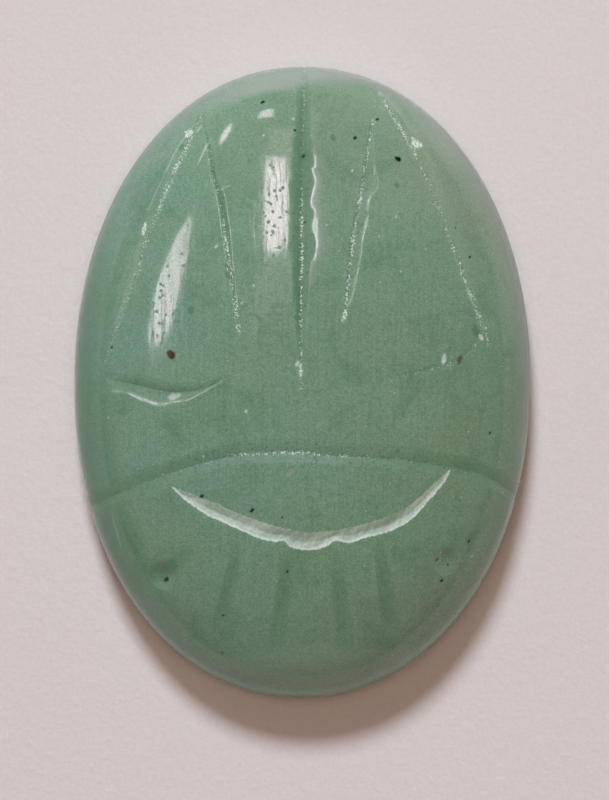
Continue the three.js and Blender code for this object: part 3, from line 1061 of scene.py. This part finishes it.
def paper_material(stage):
    tree = Tree("pale_table")
    place = tree.place()
    tone = tree.ramp(tree.noise(place, 6.0, 4.0), 0.3, 0.7, 0.0, 0.35)
    darker = tuple(0.96 * part for part in stage.paper)
    colour = tree.mix(tone, stage.paper, darker)
    fibres = tree.ramp(tree.noise(place, 0.12, 3.0, 0.7), 0.3, 0.7, 0.965, 1.035)
    colour = tree.mix(1.0, colour, tree.grey(fibres), "MULTIPLY")
    tooth = tree.noise(place, 0.35, 5.0, 0.65)
    bump = tree.add("ShaderNodeBump", {
        "Height": tooth, "Strength": 0.5, "Distance": 0.06 * MM}).outputs["Normal"]
    shader = tree.add("ShaderNodeBsdfPrincipled", {
        "Base Color": colour, "Roughness": 0.75, "Normal": bump})
    return tree.finish(shader.outputs[0])


def lamp_material(colour, glow):
    tree = Tree("lamp_panel")
    strength = tree.times(tree.attribute("glow"), glow)
    shader = tree.add("ShaderNodeEmission", {"Color": colour, "Strength": strength})
    return tree.finish(shader.outputs[0])


def link(thing):
    bpy.context.scene.collection.objects.link(thing)
    return thing


def area_lamp(name, place, size, light_colour):
    """A lamp that the polish doesn't mirror."""
    lamp = bpy.data.lights.new(name, "AREA")
    lamp.size = size
    lamp.color = light_colour
    thing = link(bpy.data.objects.new(name, lamp))
    thing.location = place
    thing.visible_glossy = False
    return thing


# Operators


class MESH_OT_scarab_stone(Operator):
    """Make the carved stone in place of its plain solid"""

    bl_idname = "mesh.scarab_stone"
    bl_label = "Carved Stone"

    def execute(self, context):
        mesh = stone_mesh(context.scene.scarab_sizes)
        mesh.materials.append(stone_material(context.scene.scarab_looks))
        stone = link(bpy.data.objects.new("scarab_stone", mesh))
        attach(stone, "root")
        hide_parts("scarab")
        return {"FINISHED"}


# Ceiling lamps that the polish mirrors: the corners of each, in shares of the ceiling's
# height, how bright it is, and how far its edge or each corner fades inwards
LAMPS = {
    "lamp_middle": (
        [(-0.278, 1.00), (-0.104, 0.94), (-0.062, 0.49), (-0.059, 0.335), (-0.164, 0.312),
         (-0.182, 0.41), (-0.214, 0.575)], 0.85, [0.36, 0.36, 0.10, 0.03, 0.03, 0.06, 0.08]),
    "lamp_left": (
        [(-0.817, 0.695), (-0.775, 0.573), (-0.725, 0.413), (-0.75, 0.291), (-0.78, 0.175),
         (-0.862, 0.14), (-0.964, 0.12), (-1.10, 0.12), (-1.19, 0.15), (-1.17, 0.379),
         (-1.055, 0.515), (-0.955, 0.635), (-0.875, 0.69)], 0.61, 4 * [0.14] + 5 * [0.05] + 4 * [0.14]),
    "lamp_far_middle": (
        [(-0.634, 2.125), (-0.746, 2.779), (-0.524, 2.832), (-0.371, 2.033)], 0.55, 0.1),
    "glow_below_middle": ([(-0.20, 0.34), (-0.02, 0.34), (0.0, 0.10), (-0.22, 0.10)], 0.07, 0.2),
    "glow_above_middle": ([(-0.31, 1.55), (-0.08, 1.45), (-0.06, 0.92), (-0.30, 0.98)], 0.10, 0.3),
    "lamp_far_left": (
        [(-0.975, 1.549), (-1.157, 1.929), (-1.316, 2.441), (-1.322, 2.773), (-1.021, 2.03),
         (-0.958, 1.708)], 0.6, 0.1),
}

TABLE_HALF = 0.6

# The key light's direction, distance, and angular width and height
KEY_TURN = math.radians(-8.3)
KEY_RISE = math.radians(50.5)
KEY_FAR = 0.6
KEY_WIDE = 0.24
KEY_TALL = 0.20

# Radius of the bright part of the ceiling, as a share of its height
BOUNCE_RADIUS = 0.26

# The camera looks straight down, a little off the stone's middle and a little turned
PICTURE_HEIGHT = 22.81 * MM
PICTURE_CENTRE = (0.070 * MM, -0.495 * MM)
PICTURE_TURN = 0.49
SENSOR = 36.0


class SCENE_OT_scarab_stage(Operator):
    """Make the table, the lamps and the camera"""

    bl_idname = "scene.scarab_stage"
    bl_label = "Stage"

    def execute(self, context):
        stage = context.scene.scarab_stage
        self.table(stage)
        for name, (corners, share, feather) in LAMPS.items():
            self.panel(stage, name, np.array(corners), stage.lamp_glow * share, feather)
        self.key(stage)
        self.bounce(stage)
        self.room(context.scene, stage)
        self.camera(context.scene, stage)
        context.scene.view_settings.view_transform = "Standard"
        return {"FINISHED"}

    def table(self, stage):
        half = TABLE_HALF
        corners = [(-half, -half, 0), (half, -half, 0), (half, half, 0), (-half, half, 0)]
        mesh = bpy.data.meshes.new("table")
        mesh.from_pydata(corners, [], [(0, 1, 2, 3)])
        mesh.materials.append(paper_material(stage))
        link(bpy.data.objects.new("table", mesh))

    def panel(self, stage, name, corners, glow, feather):
        """A lamp that only the polish mirrors, with a feathered edge."""
        away = corners - corners.mean(0)
        feather = np.reshape(feather, (-1, 1))
        outer = corners + away * feather / 3
        inner = corners - away * feather
        count = len(outer)
        flat = np.concatenate([outer, inner]) * stage.ceiling
        vertices = [(x, y, stage.ceiling) for x, y in flat]
        faces = [tuple(range(count, 2 * count))]
        for corner in range(count):
            beside = (corner + 1) % count
            faces.append((corner, beside, count + beside, count + corner))
        mesh = bpy.data.meshes.new(name)
        mesh.from_pydata(vertices, [], faces)
        attribute = mesh.attributes.new("glow", "FLOAT", "POINT")
        attribute.data.foreach_set("value", [0.0] * count + [1.0] * count)
        mesh.materials.append(lamp_material(stage.lamp_colour, glow))
        thing = link(bpy.data.objects.new(name, mesh))
        for ray in ("camera", "diffuse", "transmission", "shadow"):
            setattr(thing, f"visible_{ray}", False)

    def key(self, stage):
        """The light that casts the shadow."""
        away = Vector((math.sin(KEY_TURN) * math.cos(KEY_RISE),
                       math.cos(KEY_TURN) * math.cos(KEY_RISE), math.sin(KEY_RISE)))
        lamp = area_lamp("key", away * KEY_FAR, KEY_WIDE * KEY_FAR, stage.key_colour)
        lamp.data.shape = "ELLIPSE"
        lamp.data.size_y = KEY_TALL * KEY_FAR
        lamp.data.energy = stage.key_light * (math.pi * KEY_FAR) ** 2 / math.sin(KEY_RISE)
        lamp.rotation_euler = away.to_track_quat("Z", "Y").to_euler()

    def bounce(self, stage):
        """The bright part of the ceiling, right above the stone."""
        radius = BOUNCE_RADIUS * stage.ceiling
        lamp = area_lamp("bounce", (0, 0, stage.ceiling), 2 * radius, stage.bounce_colour)
        lamp.data.shape = "DISK"
        spread = BOUNCE_RADIUS ** 2 / (1 + BOUNCE_RADIUS ** 2)
        lamp.data.energy = stage.bounce_light / spread * (math.pi * radius) ** 2

    def room(self, scene, stage):
        world = bpy.data.worlds.new("room")
        world.use_nodes = True
        background = world.node_tree.nodes["Background"]
        background.inputs["Color"].default_value = (*stage.room_colour, 1)
        background.inputs["Strength"].default_value = stage.room_glow
        scene.world = world

    def camera(self, scene, stage):
        lens = bpy.data.cameras.new("camera")
        girdle = scene.scarab_sizes.girdle
        lens.lens = SENSOR * (stage.camera_height - girdle) / PICTURE_HEIGHT
        lens.sensor_width = SENSOR
        lens.clip_start = 0.005
        eye = link(bpy.data.objects.new("camera", lens))
        eye.location = (*PICTURE_CENTRE, stage.camera_height)
        eye.rotation_euler = (0, 0, math.radians(PICTURE_TURN))
        scene.camera = eye


class VIEW3D_PT_scarab(Panel):
    """Sizes, colours and makers of the scarab stone"""

    bl_label = "Scarab"
    bl_space_type = "VIEW_3D"
    bl_region_type = "UI"
    bl_category = "Scarab"

    def draw(self, context):
        for group in ("scarab_sizes", "scarab_looks", "scarab_stage"):
            box = self.layout.box()
            values = getattr(context.scene, group)
            for name in values.__annotations__:
                box.prop(values, name)
        self.layout.operator(MESH_OT_scarab_stone.bl_idname)
        self.layout.operator(SCENE_OT_scarab_stage.bl_idname)


CLASSES = (ScarabSizes, ScarabLooks, ScarabStage, MESH_OT_scarab_stone,
           SCENE_OT_scarab_stage, VIEW3D_PT_scarab)


def register():
    for item in CLASSES:
        bpy.utils.register_class(item)
    bpy.types.Scene.scarab_sizes = PointerProperty(type=ScarabSizes)
    bpy.types.Scene.scarab_looks = PointerProperty(type=ScarabLooks)
    bpy.types.Scene.scarab_stage = PointerProperty(type=ScarabStage)


def unregister():
    del bpy.types.Scene.scarab_stage
    del bpy.types.Scene.scarab_looks
    del bpy.types.Scene.scarab_sizes
    for item in reversed(CLASSES):
        bpy.utils.unregister_class(item)


def corners(box):
    return [list(corner) for corner in box]


def main():
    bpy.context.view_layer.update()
    register()
    bpy.ops.mesh.scarab_stone()
    bpy.ops.scene.scarab_stage()


if __name__ == "__main__":
    main()
